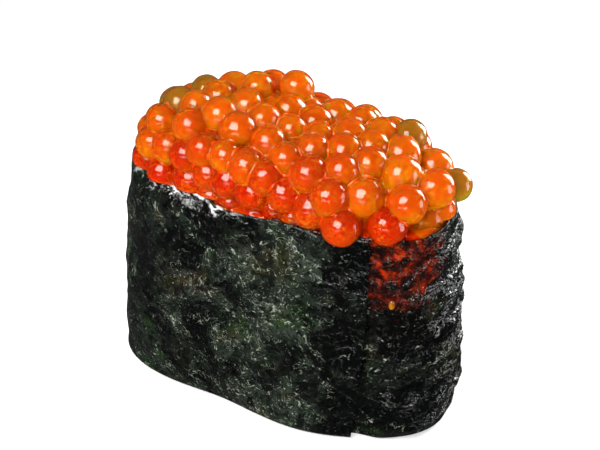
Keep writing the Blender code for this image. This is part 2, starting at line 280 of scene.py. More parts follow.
# Fibres, partly painted glints; brighter painted glints; a painted highlight on the wet rim.
FIBRE_AND_PAINTED_GLINT = (0.35, 0.39, 0.30)
FIBRE_PAINTED_GLINT = (0.31, 0.33, 0.32)
WET_RIM_PAINTED_HIGHLIGHT = (0.78, 0.80, 0.80)
# Painted glow of the roe's light through the leaf beside the lapped end, from dark to orange.
THROUGH_GLOW_DARK = (0.004, 0.001, 0.0005)
THROUGH_GLOW_BROWN = (0.06, 0.003, 0.0003)
THROUGH_GLOW_RED = (0.34, 0.019, 0.0002)
THROUGH_GLOW_ORANGE = (0.45, 0.075, 0.003)
RICE_DULL = (0.80, 0.77, 0.69)
RICE_PALE = (0.90, 0.88, 0.82)
FLOOR_DULL = (0.86, 0.86, 0.86)
FLOOR_PALE = (0.88, 0.88, 0.88)

# ---- Camera and lights
FLOOR_SIZE = 1600.0
FLOOR_DROP = 0.05
SKY_STRENGTH = 0.055
LIT_POINT = Vector((0.0, 0.0, 30.0))
# Softboxes, as (name, where it stands, width and height, watts).
SOFTBOXES = (
    ("key", (-10.0, -150.0, 190.0), (150.0, 125.0), 0.70),
    ("rim", (100.0, 170.0, 85.0), (80.0, 150.0), 0.62),
    ("fill", (40.0, -240.0, 35.0), (160.0, 70.0), 0.16),
    ("side", (210.0, 60.0, 40.0), (90.0, 120.0), 0.18),
    ("strip", (30.0, -200.0, 70.0), (160.0, 12.0), 0.05),
)
CAMERA_AT = Vector((76.660, -154.945, 133.973))
CAMERA_TO = Vector((-1.248, 4.792, 23.994))
CAMERA_LENS = 85.3
CAMERA_ROLL = math.radians(-1)


# ------------ shapes shared with the CAD part

def blend(low, high, share):
    return low + (high - low) * share


def smooth(share):
    share = min(max(share, 0.0), 1.0)
    return share * share * (3.0 - 2.0 * share)


def outline_radius(angle, level, inset=0.0):
    """Distance from the middle to the nori's outer face, or to a curve an inset inside it."""
    half_length = blend(BASE_HALF_LENGTH, RIM_HALF_LENGTH, level) - inset
    half_width = blend(BASE_HALF_WIDTH, RIM_HALF_WIDTH, level) - inset
    along = abs(math.cos(angle) / half_length) ** SQUARENESS
    across = abs(math.sin(angle) / half_width) ** SQUARENESS
    radius = (along + across) ** (-1.0 / SQUARENESS)
    near = 1.0 - smooth((math.sin(angle) - FAR_FROM) / FAR_FADE)
    for low, high in zip(BASE_WAVES, RIM_WAVES):
        radius += near * blend(low[1], high[1], level) * math.cos(low[0] * angle)
        radius += near * blend(low[2], high[2], level) * math.sin(low[0] * angle)
    swell = BARREL + BARREL_TO_X * math.cos(angle)
    return radius * (1.0 + swell * 4.0 * level * (1.0 - level))


def outline_point(angle, level):
    radius = outline_radius(angle, level)
    middle = Vector((LEAN_X * (1.0 - level), LEAN_Y * (1.0 - level), 0.0))
    return middle + Vector((radius * math.cos(angle), radius * math.sin(angle), 0.0))


def outward(angle, level):
    """Level direction square to the band's outer face."""
    step = 0.01
    along = outline_point(angle + step, level) - outline_point(angle - step, level)
    return Vector((along.y, -along.x, 0.0)).normalized()


def crinkle(angle, height):
    """Shallow dents and swellings of the damp nori, fading out at its edges."""
    fade = smooth(height / 6.0) * smooth((NORI_HEIGHT - height) / 5.0)
    round_it = math.sin(9 * angle + 0.21 * height) + math.sin(14 * angle - 0.33 * height + 1.3)
    up_it = math.sin(0.62 * height + 3 * angle) + math.sin(0.41 * height - 5 * angle + 0.7)
    return CRINKLE * fade * 0.5 * (round_it + up_it)


def band_point(angle, height, turn, depth):
    """Point at a depth behind the nori's outer face, where that face leans in by turn."""
    level = height / NORI_HEIGHT
    inset = FOOT_RADIUS * (1.0 - math.cos(turn)) + depth * math.cos(turn)
    point = outline_point(angle, level)
    point += outward(angle, level) * (crinkle(angle, height) - inset)
    point.z = height + depth * math.sin(turn)
    return point


def stretch_angle(angle):
    """Turn an even angle into one that spaces points evenly round the long oval."""
    return math.atan2(RIM_HALF_WIDTH * math.sin(angle), RIM_HALF_LENGTH * math.cos(angle))


def squash_angle(angle):
    """The opposite of stretch_angle."""
    return math.atan2(RIM_HALF_LENGTH * math.sin(angle), RIM_HALF_WIDTH * math.cos(angle))


def strip_angle(step):
    """Direction of the strip's point at step, of AROUND in one turn, from its outer end."""
    return stretch_angle(squash_angle(OUTER_END) - step * math.tau / AROUND)


def tucked_share(step):
    """1 where the strip has tucked in under its own outer end, and 0 before that."""
    return smooth((step - AROUND + TUCK_STEPS) / TUCK_STEPS)


def strip_depth(step):
    """Depth of the strip behind the outer face."""
    return (NORI_THICKNESS + LAP_GAP) * tucked_share(step)


def rim_ripple(angle):
    return RIM_RIPPLE * (math.sin(4 * angle + 0.6) + 0.6 * math.sin(11 * angle + 2.0))


def rim_curl(step):
    """How far the rim curls in, at a step along the strip."""
    step = step % AROUND
    growing = smooth((step - CURL_STEPS[0]) / CURL_FADES[0])
    return RIM_CURL * growing * smooth((CURL_STEPS[1] - step) / CURL_FADES[1])


def curl_in(step, height):
    """How far the sheet stands in at a height, because of the curl of its rim."""
    return rim_curl(step) * smooth((height - CURL_FROM) / (NORI_HEIGHT - CURL_FROM))


def rim_reach(angle, margin):
    """Plan distance from the origin to a curve a margin inside the nori's inner face at the rim."""
    return outline_radius(angle, 1.0, NORI_THICKNESS + margin)


def heap_height(x, y, margin):
    """Height over the rim of a dome that ends a margin short of the nori's inner face."""
    share = min(math.hypot(x, y) / rim_reach(math.atan2(y, x), margin), 1.0)
    raised = HEAP_CROWN + HEAP_STEP * smooth(0.5 - (x - HEAP_STEP_AT) / HEAP_STEP_WIDTH)
    return raised * math.sqrt(1.0 - share ** HEAP_SHOULDER)


def core_height(x, y):
    return NORI_HEIGHT - CORE_DEPTH + heap_height(x, y, CORE_DEPTH)


def overhang(angle):
    """How far eggs above the rim may reach past the nori's inner face."""
    return OVERHANG + OVERHANG_SWING * math.cos(angle - OVERHANG_SIDE)


def scatter_eggs(draw):
    eggs = [[*egg, True] for egg in PLACED_EGGS]
    while len(eggs) < LOOSE_EGGS + len(PLACED_EGGS):
        angle = draw.uniform(-math.pi, math.pi)
        reach = rim_reach(angle, EGG_RADIUS[0]) * math.sqrt(draw.random())
        x = reach * math.cos(angle)
        y = reach * math.sin(angle)
        radius = draw.uniform(*EGG_RADIUS) + EGG_GROWTH * x
        top = NORI_HEIGHT + max(0.5, heap_height(x, y, 0.0) - radius)
        eggs.append([x, y, draw.uniform(ROE_FLOOR + radius, top), radius, False])
    return eggs


def push_apart(one, other):
    """Move two eggs apart until they only squeeze each other; placed eggs stay put."""
    between = Vector(other[:3]) - Vector(one[:3])
    reach = (one[3] + other[3]) * EGG_SQUEEZE
    distance = between.length
    if distance >= reach or distance < 1e-4 or (one[4] and other[4]):
        return
    push = between * ((reach - distance) / distance)
    share = 1.0 if one[4] else 0.0 if other[4] else 0.5
    for axis in range(3):
        one[axis] -= push[axis] * (1.0 - share)
        other[axis] += push[axis] * share


def hold_in(egg):
    """Keep an egg inside the nori, above the rice and under the heap's outline."""
    x, y, z, radius, placed = egg
    if placed:
        return
    angle = math.atan2(y, x)
    margin = radius - overhang(angle) * smooth(0.5 * (z - NORI_HEIGHT))
    reach = rim_reach(angle, margin)
    if math.hypot(x, y) > reach:
        x = reach * math.cos(angle)
        y = reach * math.sin(angle)
    top = NORI_HEIGHT + heap_height(x, y, 0.0) - radius
    z = max(min(z, top), ROE_FLOOR + radius)
    # Rounded, so that the last bits of a sum never grow into another packing.
    egg[:3] = round(x, 4), round(y, 4), round(z, 4)


def settle_eggs():
    """Eggs of the heap as (centre, radius), packed by pushing overlapping pairs apart."""
    eggs = scatter_eggs(random.Random(ROE_SEED))
    for _ in range(SETTLE_ROUNDS):
        for index, one in enumerate(eggs):
            for other in eggs[index + 1:]:
                if abs(other[0] - one[0]) < 6.0 and abs(other[1] - one[1]) < 6.0:
                    push_apart(one, other)
        for egg in eggs:
            hold_in(egg)
    return [(Vector(egg[:3]), egg[3]) for egg in eggs]


def press_in(point):
    """Where a point of the roe ends up once the nori holds it in, below the rim."""
    angle = math.atan2(point.y, point.x)
    step = (squash_angle(OUTER_END) - squash_angle(angle)) * AROUND / math.tau
    reach = math.hypot(point.x, point.y)
    limit = rim_reach(angle, 0.1) - curl_in(step, min(point.z, NORI_HEIGHT))
    if reach <= limit:
        return point
    held = smooth((NORI_HEIGHT + 0.5 - point.z) / 0.9)
    share = blend(reach, limit, held) / reach
    return Vector((point.x * share, point.y * share, point.z))


def shows(centre, radius):
    """True for an egg that stands out of the core, over it or beside it."""
    for lean in (0.0, 0.5, 0.9):
        for turn in range(8):
            out = radius * math.sin(lean)
            x = centre.x + out * math.cos(turn * math.tau / 8)
            y = centre.y + out * math.sin(turn * math.tau / 8)
            if centre.z + radius * math.cos(lean) > core_height(x, y) + LEAST_SHOWING:
                return True
    return False


# ------------ node graphs

class Graph:
    """A material or world being built: each call adds nodes and gives an output socket."""

    def __init__(self, owner):
        owner.use_nodes = True
        self.owner = owner
        self.tree = owner.node_tree
        self.tree.nodes.clear()

    def add(self, kind, inputs=None, output=0, **settings):
        """Add one node. An output of None gives the node itself."""
        node = self.tree.nodes.new(kind)
        for name, value in settings.items():
            setattr(node, name, value)
        for name, value in (inputs or {}).items():
            socket = node.inputs[name]
            if isinstance(value, bpy.types.NodeSocket):
                self.tree.links.new(value, socket)
            elif socket.type == "RGBA":
                socket.default_value = (*value, 1.0)
            else:
                socket.default_value = value
        return node if output is None else node.outputs[output]

    def math(self, operation, one, other=0.0):
        return self.add("ShaderNodeMath", {0: one, 1: other}, operation=operation)

    def times(self, one, other):
        return self.math("MULTIPLY", one, other)

    def higher(self, one, other):
        return self.math("MAXIMUM", one, other)

    def centred(self, field):
        """A noise field moved down, so that it swings about 0."""
        return self.math("SUBTRACT", field, 0.5)

    def plus(self, base, field, weight):
        """The base, with a weighted field added to it."""
        return self.math("ADD", base, self.times(field, weight))

    def rest(self, field, weight=1.0):
        """What a weighted field leaves of 1."""
        return self.plus(1.0, field, -weight)

    def vector(self, operation, one, other):
        return self.add("ShaderNodeVectorMath", {0: one, 1: other}, operation=operation)

    def noise(self, at, scale, detail=2.0, roughness=0.5, distortion=0.0, output=0):
        """Noise from 0 to 1, at a scale per metre. Output 1 is its colour."""
        values = {"Vector": at, "Scale": scale, "Detail": detail}
        values.update({"Roughness": roughness, "Distortion": distortion})
        return self.add("ShaderNodeTexNoise", values, output)

    def spread(self, value, low, high, to_low=0.0, to_high=1.0):
        """Map low..high to to_low..to_high, smoothly, and hold it there."""
        values = {"Value": value, "From Min": low, "From Max": high}
        values.update({"To Min": to_low, "To Max": to_high})
        return self.add("ShaderNodeMapRange", values, interpolation_type="SMOOTHSTEP")

    def mix(self, share, one, other, blend_type="MIX"):
        values = {0: share, 6: one, 7: other}
        return self.add("ShaderNodeMix", values, output=2, data_type="RGBA", blend_type=blend_type)

    def tint(self, body, tint):
        """The body's colour times a tint."""
        return self.mix(1.0, body, tint, "MULTIPLY")

    def rise(self, place, start, full):
        """0 at the start and 1 at the full place, both in millimetres."""
        return self.spread(place, start * MM, full * MM)

    def band(self, place, low, high, soft):
        """1 from low to high, in millimetres, fading out over a soft distance at each."""
        rise = self.rise(place, low - 0.5 * soft, low + 0.5 * soft)
        fall = self.rise(place, high + 0.5 * soft, high - 0.5 * soft)
        return self.times(rise, fall)

    def bump(self, height, strength, distance):
        """Normal of a surface raised by a height field, times a distance in millimetres."""
        values = {"Height": height, "Strength": strength, "Distance": distance * MM}
        return self.add("ShaderNodeBump", values)

    def attribute(self, name):
        return self.add("ShaderNodeAttribute", output="Fac", attribute_name=name)


def finished(graph, inputs):
    """The graph's material, with a principled shader that has these inputs."""
    surface = graph.add("ShaderNodeBsdfPrincipled", inputs)
    graph.add("ShaderNodeOutputMaterial", {"Surface": surface}, output=None)
    return graph.owner


# ------------ materials

def painted_glow_below(graph, body, low, high, glow):
    """The body's colour, lighter on each egg's low side: a painted glow where light gathers."""
    share = graph.spread(graph.attribute("painted_glow_side"), low, high, 0.0, 0.8)
    return graph.mix(share, body, graph.tint(body, glow))


def egg_material(name, pale, red, clearness):
    """Clear wet jelly skin of an egg, with clouds of fine granules, and a painted glow low down."""
    graph = Graph(bpy.data.materials.new(name))
    at = graph.add("ShaderNodeTexCoord", output="Object")
    body = graph.mix(graph.attribute("redness"), pale, red)
    body = painted_glow_below(graph, body, 0.3, 0.95, EGG_PAINTED_GLOW)
    cloud = graph.spread(graph.noise(at, 260.0), 0.46, 0.58)
    fine = graph.spread(graph.noise(at, 2600.0, detail=1.0), 0.48, 0.60, 0.0, 0.30)
    body = graph.mix(graph.times(fine, cloud), body, EGG_GRANULES)
    wobble = graph.noise(at, 1300.0, detail=1.0)
    wobble = graph.plus(wobble, graph.noise(at, 2700.0, detail=0.0), 0.25)
    return finished(graph, {
        "Base Color": body,
        "Roughness": 0.04,
        "IOR": 1.36,
        "Normal": graph.bump(wobble, 0.8, 0.08),
        "Subsurface Weight": 1.0,
        "Subsurface Radius": (1.0, 0.16, 0.02),
        "Subsurface Scale": 2.0 * MM,
        "Transmission Weight": clearness,
        "Coat Weight": 0.6,
        "Coat Roughness": 0.02,
        "Coat IOR": 1.4,
    })


def brine_material():
    """Cloudy egg middles with a painted glow low down, and the brine in the seams between them."""
    graph = Graph(bpy.data.materials.new("brine"))
    at = graph.add("ShaderNodeTexCoord", output="Object")
    cloud = graph.noise(at, 320.0, detail=3.0)
    fine = graph.noise(at, 1900.0, detail=1.0)
    share = graph.math("ADD", graph.attribute("redness"), graph.spread(cloud, 0.35, 0.7, -0.2, 0.2))
    body = graph.mix(share, MIDDLE_PALE, MIDDLE_RED)
    body = painted_glow_below(graph, body, 0.4, 0.9, MIDDLE_PAINTED_GLOW)
    specks = graph.times(graph.spread(fine, 0.48, 0.60), graph.spread(cloud, 0.44, 0.56))
    body = graph.mix(specks, body, MIDDLE_SPECKS)
    body = graph.mix(graph.attribute("amber"), body, MIDDLE_AMBER)
    body = graph.mix(graph.attribute("seam"), body, graph.mix(share, SEAM_PALE, SEAM_RED))
    return finished(graph, {
        "Base Color": body,
        "Roughness": 0.08,
        "IOR": 1.36,
        "Normal": graph.bump(cloud, 0.3, 0.06),
        "Subsurface Weight": 1.0,
        "Subsurface Radius": (1.0, 0.2, 0.03),
        "Subsurface Scale": 1.0 * MM,
        "Coat Weight": 0.2,
        "Coat Roughness": 0.02,
    })


def juice_material():
    """Thin juice in the creases between the eggs."""
    graph = Graph(bpy.data.materials.new("juice"))
    return finished(graph, {
        "Base Color": graph.mix(graph.attribute("redness"), JUICE_PALE, JUICE_RED),
        "Roughness": 0.05,
        "IOR": 1.36,
        "Coat Weight": 0.8,
        "Coat Roughness": 0.02,
    })


class SheetPlaces:
    """The sheet's coordinates, and its wet rim, painted glow and so on, each from 0 to 1."""

    def __init__(self, graph):
        self.sheet = graph.add("ShaderNodeUVMap", uv_map="sheet")
        split = graph.add("ShaderNodeSeparateXYZ", {0: self.sheet}, output=None)
        self.along = split.outputs[0]
        self.height = split.outputs[1]
        self.end = graph.band(self.along, *GLINTING_END)
        self.calm = graph.band(self.along, *CALM_END)
        self.wet = self.wet_rim(graph)
        self.glow_through = self.glow_through_corner(graph)

    def wet_rim(self, graph):
        """The wet stretch of the rim, painted with highlights, with a ragged lower edge."""
        swing = graph.centred(graph.noise(self.sheet, 420.0, detail=3.0, roughness=0.6))
        height = graph.plus(self.height, swing, WET_SWING * MM)
        return graph.times(graph.band(self.along, *WET_RIM), graph.rise(height, *WET_UP))

    def glow_through_corner(self, graph):
        """Painted glow of light through the leaf, under the rim beside the lapped end."""
        swing = graph.centred(graph.noise(self.sheet, 330.0, detail=3.0, roughness=0.6))
        along = graph.plus(self.along, swing, GLOW_THROUGH_SWING * MM)
        height = graph.plus(self.height, swing, GLOW_THROUGH_SWING * MM)
        return graph.times(graph.rise(along, *GLOW_THROUGH_ALONG), graph.rise(height, *GLOW_THROUGH_UP))


def level_lines(graph, field, level, width):
    """Thin curved lines where a noise field passes a level: 1 on a line and 0 off it."""
    away = graph.math("ABSOLUTE", graph.math("SUBTRACT", field, level))
    return graph.spread(away, 0.0, width, 1.0, 0.0)


def fibre_web(graph, sheet):
    """Web of short curved fibres pressed into the sheet, 0 to 1."""
    web = 0.0
    for scale, width, offset in FIBRE_LAYERS:
        shifted = graph.vector("ADD", sheet, (offset, offset, 0.0))
        field = graph.noise(shifted, scale, detail=3.0, roughness=0.45, distortion=0.8)
        one, other = (level_lines(graph, field, level, width) for level in FIBRE_LEVELS)
        whole = graph.spread(graph.noise(shifted, scale * 1.7), 0.53, 0.61)
        web = graph.higher(web, graph.times(graph.higher(one, other), whole))
    return web


def leaf_flakes(graph, sheet):
    """Overlapping scraps of leaf with ragged edges: each has its own value from 0 to 1."""
    sway = graph.noise(sheet, 450.0, detail=3.0, output=1)
    sway = graph.vector("SUBTRACT", sway, (0.5, 0.5, 0.5))
    sway = graph.add("ShaderNodeVectorMath", {0: sway, "Scale": 3.0 * MM}, operation="SCALE")
    warped = graph.vector("ADD", sheet, sway)
    values = []
    for scale in (260.0, 620.0):
        cells = graph.add("ShaderNodeTexVoronoi", {"Vector": warped, "Scale": scale}, output=1)
        values.append(graph.add("ShaderNodeSeparateXYZ", {0: cells}))
    return graph.plus(graph.times(values[0], 0.6), values[1], 0.4)


def leaf_tone(graph, places, flakes):
    """How pale the leaf is: in patches, scrap by scrap and band by band.

    Near the lapped end it is darker: painted shade.
    """
    tone = graph.noise(places.sheet, 110.0, detail=4.0, roughness=0.65, distortion=0.6)
    tone = graph.plus(tone, graph.centred(flakes), 0.36)
    tone = graph.plus(tone, graph.band(places.along, *PALER), 0.10)
    # Darker near the lapped end: painted shade.
    return graph.plus(tone, graph.band(places.along, *CLEAR_OF_LAP_SHADE), 0.14)


def leaf_color(graph, sheet, tone):
    """Near-black leaf of this tone, gritty, with green, brown and red clouds in it."""
    body = graph.mix(graph.spread(tone, 0.50, 0.92), NORI_DARK, NORI_PALE)
    grit = graph.noise(sheet, 900.0, detail=3.0, roughness=0.7)
    body = graph.mix(graph.spread(grit, 0.38, 0.54, 1.0, 0.0), body, graph.tint(body, NORI_GRIT))
    for tint, *settings in TINT_CLOUDS:
        cloud = graph.spread(graph.noise(sheet, *settings), 0.53, 0.66, 0.0, 0.9)
        body = graph.mix(cloud, body, graph.tint(body, tint))
    return body


def painted_glow_color(graph, sheet, mottle):
    """Painted glow of the roe's light through the leaf, in blotches from near black to orange."""
    blotch = graph.noise(sheet, 560.0, detail=4.0, roughness=0.7)
    through_glow = graph.mix(graph.spread(blotch, 0.40, 0.55), THROUGH_GLOW_DARK, THROUGH_GLOW_BROWN)
    through_glow = graph.mix(graph.spread(blotch, 0.52, 0.64), through_glow, THROUGH_GLOW_RED)
    return graph.mix(graph.spread(mottle, 0.60, 0.70, 0.0, 0.7), through_glow, THROUGH_GLOW_ORANGE)


def fibre_and_glint_share(graph, places, tone, web, pits):
    """How far fibres and flecks cover the leaf: in clumps, on the wet rim and as stray glints.

    The fibres are partly pale leaf and partly painted glints.
    """
    knots = graph.noise(places.sheet, 200.0, detail=4.0, roughness=0.6)
    clump = graph.plus(tone, places.end, 0.1)
    clump = graph.plus(clump, graph.centred(knots), 0.9)
    clump = graph.spread(clump, 0.60, 0.84, 0.05, 1.0)
    clump = graph.times(clump, graph.rest(places.calm, 0.35))
    # Stray painted glints, strewn sparsely over the leaf away from its calm stretch.
    stray_glints = graph.noise(places.sheet, 360.0)
    stray_glints = graph.times(graph.spread(stray_glints, 0.56, 0.63, 0.0, 0.8), graph.rest(places.calm))
    shown = graph.higher(graph.higher(clump, places.wet), stray_glints)
    flecks = graph.higher(web, graph.spread(pits, 0.66, 0.73, 0.0, 0.6))
    flecks = graph.times(flecks, graph.rest(places.glow_through, 0.6))
    return graph.times(flecks, shown)


def leaf_bumps(graph, places, web, pits, ridges, flakes):
    """Height of the leaf's fine relief, with deeper pits where it is wet."""
    pit_depth = graph.plus(0.9, places.wet, 1.2)
    ridge_depth = graph.plus(2.4, places.end, 1.6)
    ridge_depth = graph.plus(ridge_depth, places.calm, -0.9)
    bumps = graph.plus(graph.times(web, 0.8), pits, pit_depth)
    bumps = graph.plus(bumps, ridges, ridge_depth)
    return graph.plus(bumps, flakes, 0.5)


def nori_material():
    """Damp pressed seaweed: near black, mottled green and grey, with a web of fine fibres.

    The fibres are partly painted glints, the wet rim has a painted highlight, a painted glow shows
    beside the lapped end, and painted shade darkens the leaf near it.
    """
    graph = Graph(bpy.data.materials.new("nori"))
    places = SheetPlaces(graph)
    sheet = places.sheet
    stretched = graph.vector("MULTIPLY", sheet, (0.45, 1.0, 1.0))
    mottle = graph.noise(sheet, 300.0, detail=4.0, roughness=0.65)
    pits = graph.noise(sheet, 1700.0, roughness=0.6)
    ridges = graph.noise(stretched, 700.0, distortion=0.6)
    highlight_streaks = graph.noise(stretched, 1500.0, detail=3.0, roughness=0.6)
    flakes = leaf_flakes(graph, sheet)
    web = fibre_web(graph, sheet)

    tone = leaf_tone(graph, places, flakes)
    body = leaf_color(graph, sheet, tone)
    # Painted glow of the roe's light through the leaf beside the lapped end.
    body = graph.mix(graph.times(places.glow_through, 0.95), body, painted_glow_color(graph, sheet, mottle))
    # Pale fibres and painted glints, brighter painted glints on the glinting end and wet rim.
    fibre_and_glint = graph.mix(graph.higher(places.end, places.wet), FIBRE_AND_PAINTED_GLINT, FIBRE_PAINTED_GLINT)
    body = graph.mix(fibre_and_glint_share(graph, places, tone, web, pits), body, fibre_and_glint)
    # Painted highlight on the wet rim, in streaks.
    painted_highlight = graph.times(places.wet, graph.spread(highlight_streaks, 0.49, 0.58))
    body = graph.mix(painted_highlight, body, WET_RIM_PAINTED_HIGHLIGHT)
    bumps = leaf_bumps(graph, places, web, pits, ridges, flakes)
    return finished(graph, {
        "Base Color": body,
        "Roughness": graph.spread(mottle, 0.35, 0.65, 0.17, 0.09),
        "IOR": 1.45,
        "Specular IOR Level": 0.5,
        "Normal": graph.bump(bumps, 1.0, 0.2),
    })


def rice_material():
    """Moist cooked rice grains."""
    graph = Graph(bpy.data.materials.new("rice"))
    at = graph.add("ShaderNodeTexCoord", output="Object")
    chalk = graph.noise(at, 500.0)
    return finished(graph, {
        "Base Color": graph.mix(graph.spread(chalk, 0.35, 0.65), RICE_DULL, RICE_PALE),
        "Roughness": 0.32,
        "Normal": graph.bump(chalk, 0.3, 0.06),
        "Subsurface Weight": 0.8,
        "Subsurface Radius": (1.0, 0.9, 0.75),
        "Subsurface Scale": 0.8 * MM,
        "Coat Weight": 0.2,
        "Coat Roughness": 0.2,
    })


def floor_material():
    """Pale matt tabletop that is lit from within a little, as a light table is."""
    graph = Graph(bpy.data.materials.new("pale_floor"))
    at = graph.add("ShaderNodeTexCoord", output="Object")
    return finished(graph, {
        "Base Color": graph.mix(graph.noise(at, 60.0), FLOOR_DULL, FLOOR_PALE),
        "Roughness": 0.9,
        "Emission Color": WHITE,
        "Emission Strength": 0.45,
    })


# ------------ pieces

def new_object(name, work_mesh):
    """Link a mesh in millimetres as an object in metres."""
    bmesh.ops.scale(work_mesh, vec=(MM, MM, MM), verts=work_mesh.verts[:])
    mesh = bpy.data.meshes.new(name)
    work_mesh.to_mesh(mesh)
    work_mesh.free()
    thing = bpy.data.objects.new(name, mesh)
    bpy.context.scene.collection.objects.link(thing)
    return thing


def link_piece(name, work_mesh, material, replaced=None):
    """Link a mesh in millimetres as a piece that rides on the one body."""
    piece = new_object(name, work_mesh)
    piece.data.shade_smooth()
    piece.data.materials.append(material)
    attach(piece, "root")
    if replaced:
        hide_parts(replaced)


def skin_rows(work_mesh, rows):
    """Join each closed row of points to the next one by a band of four-sided faces."""
    for low, high in zip(rows, rows[1:]):
        for index in range(len(low)):
            after = (index + 1) % len(low)
            work_mesh.faces.new((low[index], low[after], high[after], high[index]))


def mesh_with(*layers):
    """A new mesh that keeps these values for each of its points."""
    work_mesh = bmesh.new()
    for layer in layers:
        work_mesh.verts.layers.float.new(layer)
    return work_mesh


def ramp(value, start, full):
    """0 up to the start, and 1 from the full value on."""
    return smooth((value - start) / (full - start))


# ---- Nori

def sheet_noise(along, height, scale):
    """Noise over the sheet, whose scale is (length along, length up, noise layer)."""
    return noise.noise(Vector((along / scale[0], height / scale[1], scale[2])))


def hump(place, middle, half_width):
    """1 at the middle, falling away to both sides."""
    return math.exp(-((place - middle) / half_width) ** 2)


def fold(along, height):
    """Long slanting crease across the near side."""
    run = FOLD_TO - FOLD_FROM
    place = Vector((along, height)) - FOLD_FROM
    share = place.dot(run) / run.length_squared
    aside = (place.x * run.y - place.y * run.x) / run.length
    aside += FOLD_WANDER * noise.noise(Vector((height / WANDER_LENGTH, 0.0, 7.7)))
    fade = ramp(share, *FOLD_START) * ramp(share, *FOLD_END)
    return FOLD_DEPTH * fade * (hump(aside, *FOLD_CREST) - hump(aside, *FOLD_GROOVE))


def relief(along, height):
    """Dents and wrinkles of the sheet that are finer than the CAD part's."""
    slanting = (along + WRINKLE_SLANT * height, height - WRINKLE_SLANT * along)
    wrinkle = 1.0 - 2.0 * abs(sheet_noise(*slanting, WRINKLE_SCALE))
    bumps = BROAD_DENT * sheet_noise(along, height, BROAD_SCALE)
    bumps += WRINKLE * (wrinkle - WRINKLE_MIDDLE)
    bumps += PUCKER * sheet_noise(along, height, PUCKER_SCALE)
    bumps += GRAIN * sheet_noise(along, height, GRAIN_SCALE)
    return bumps + fold(along, height)


def held_back(raised):
    """The same relief, with its deep dents flattened out."""
    if raised >= -SHALLOW_DENT:
        return raised
    return -SHALLOW_DENT - REST_OF_DENT * math.tanh((-SHALLOW_DENT - raised) / REST_OF_DENT)


def fine_levels():
    """(height, turn) pairs of the fine sheet from its foot to its rim."""
    foot_height = FOOT_RADIUS * math.sin(FOOT_TURN)
    levels = []
    for step in range(FINE_FOOT):
        turn = FOOT_TURN * (1.0 - step / FINE_FOOT)
        levels.append((foot_height - FOOT_RADIUS * math.sin(turn), turn))
    for step in range(FINE_UP + 1):
        levels.append((blend(foot_height, NORI_HEIGHT, step / FINE_UP), 0.0))
    return levels


def strip_column(step, along, levels):
    """Outer and inner points of the fine sheet at one step along it."""
    angle = strip_angle(step)
    depth = strip_depth(step)
    tucked = tucked_share(step)
    x = outline_point(angle, 0.5).x
    end = ramp(x, *END_REACH)
    bulk = blend(blend(1.0, END_RELIEF, end), CALM_RELIEF, ramp(x, *CALM_REACH))
    notch = rim_ripple(angle) + RIM_NOTCH * sheet_noise(along, 0.0, NOTCH_SCALE)
    outer = []
    inner = []
    for height, turn in levels:
        under = relief(along - TURN_LENGTH, height) - TUCK_SINK
        raised = blend(relief(along, height), under, tucked)
        raised += RIDGE * end * (RIDGE_BIAS + sheet_noise(along, height, RIDGE_SCALE))
        raised *= ramp(height, *FOOT_FADE)
        raised *= blend(1.0, RIM_RELIEF, ramp(height, *RIM_FADE)) * bulk
        raised = held_back(raised) - curl_in(step, height)
        push = outward(angle, height / NORI_HEIGHT) * raised
        lift = notch * ramp(height, 0.8 * NORI_HEIGHT, NORI_HEIGHT)
        for row, extra in ((outer, 0.0), (inner, SHEET_THICKNESS)):
            point = band_point(angle, height, turn, depth + extra) + push
            point.z += lift
            row.append(point)
    return outer, inner


def sheet_columns(work_mesh):
    """Closed columns of points round the sheet's section, and each point's place on the sheet."""
    levels = fine_levels()
    heights = [height for height, _ in levels]
    columns = []
    places = {}
    along = 0.0
    last = outline_point(strip_angle(0.0), 0.5)
    for index in range(FINE_AROUND + 1):
        step = index * (AROUND + LAP_STEPS) / FINE_AROUND
        here = outline_point(strip_angle(step), 0.5)
        along += (here - last).length
        last = here
        outer, inner = strip_column(step, along, levels)
        column = [work_mesh.verts.new(point) for point in outer + inner[::-1]]
        for vert, height in zip(column, heights + heights[::-1]):
            places[vert] = (along * MM, height * MM)
        columns.append(column)
    return columns, places


def close_end(work_mesh, column):
    """Faces across the cut end of the sheet, from its outer points to its inner ones."""
    half = len(column) // 2
    near = column[:half]
    far = column[half:][::-1]
    for index in range(half - 1):
        work_mesh.faces.new((near[index], near[index + 1], far[index + 1], far[index]))


def make_nori():
    """The strip, wound once round and lapped, with crinkled faces."""
    work_mesh = bmesh.new()
    sheet = work_mesh.loops.layers.uv.new("sheet")
    columns, places = sheet_columns(work_mesh)
    skin_rows(work_mesh, columns)
    close_end(work_mesh, columns[0])
    close_end(work_mesh, columns[-1])
    bmesh.ops.recalc_face_normals(work_mesh, faces=work_mesh.faces[:])
    for face in work_mesh.faces:
        for loop in face.loops:
            loop[sheet].uv = places[loop.vert]
    link_piece("nori_sheet", work_mesh, nori_material(), "nori_wrap")


# ---- Roe

# An egg that shows, with its number in the packing.
Egg = namedtuple("Egg", "number centre radius redness")


def egg_redness(centre):
    """0 for the palest orange and 1 for the reddest."""
    rise = ramp(centre.x, *PALE_RISE[0]) * ramp(centre.z, *PALE_RISE[1])
    corner = ramp(centre.x, *PALE_CORNER[0]) * ramp(centre.z, *PALE_CORNER[1])
    paler = max(rise, ramp(centre.x, *PALE_END), PALE_SHARE * corner)
    inner = 1.0 - PALE_SHARE * paler
    low = ramp(centre.z, *RED_BELOW)
    near = ramp(centre.y, *RED_NEAR)
    return LEAST_RED + RED_GAIN * inner * low * near


